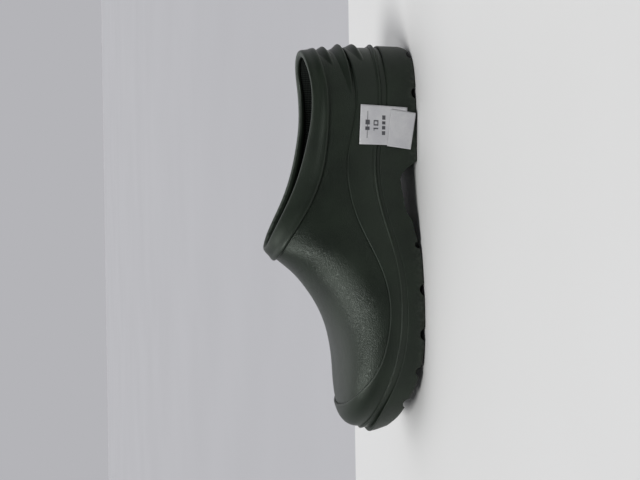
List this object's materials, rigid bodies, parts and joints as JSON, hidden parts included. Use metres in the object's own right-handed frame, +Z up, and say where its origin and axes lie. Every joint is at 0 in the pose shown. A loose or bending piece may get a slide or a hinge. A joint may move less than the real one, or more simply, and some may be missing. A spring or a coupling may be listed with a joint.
{
  "type": "garden clog",
  "caption": "Low rubber garden clog for the left foot: open heel-height collar, mudguard strip, ribbed heel and a lugged sole.",
  "frame": {"origin": "middle of the clog's bounding box, on the ground under the tread", "axes": "+X from heel to toe, +Y to the wearer's left (the outer side of this left clog), +Z up"},
  "size_m": [0.3039, 0.1066, 0.1135],
  "materials": {
    "upper_rubber": "satin",
    "trim_rubber": "satin",
    "sole_rubber": "matte",
    "lining_knit": "matte",
    "stiffener": "matte",
    "fibre_board": "matte",
    "felt": "matte",
    "steel": "brushed",
    "foam": "matte",
    "footbed_cloth": "matte",
    "label_paper": "matte"
  },
  "bodies": {
    "clog": {"upper_shell": "upper_rubber", "collar_band": "trim_rubber", "mudguard_band": "trim_rubber", "welt_bead": "trim_rubber", "heel_rib_top": "trim_rubber", "heel_rib_middle": "trim_rubber", "heel_rib_lower": "trim_rubber", "outsole": "sole_rubber", "lining_sock": "lining_knit", "toe_puff": "stiffener", "heel_counter": "stiffener", "insole_board": "fibre_board", "heel_filler": "felt", "forepart_filler": "felt", "shank": "steel", "stock_label_printed": "label_paper", "stock_label_blank": "label_paper"},
    "footbed": {"footbed_foam": "foam", "footbed_cover": "footbed_cloth"}
  },
  "joints": [
    {"name": "footbed_lift", "type": "hinge", "parent": "clog", "child": "footbed", "pos_m": [0.1401, 0, 0.0358], "axis": [0, 1, 0], "range_deg": [0, 4]}
  ]
}
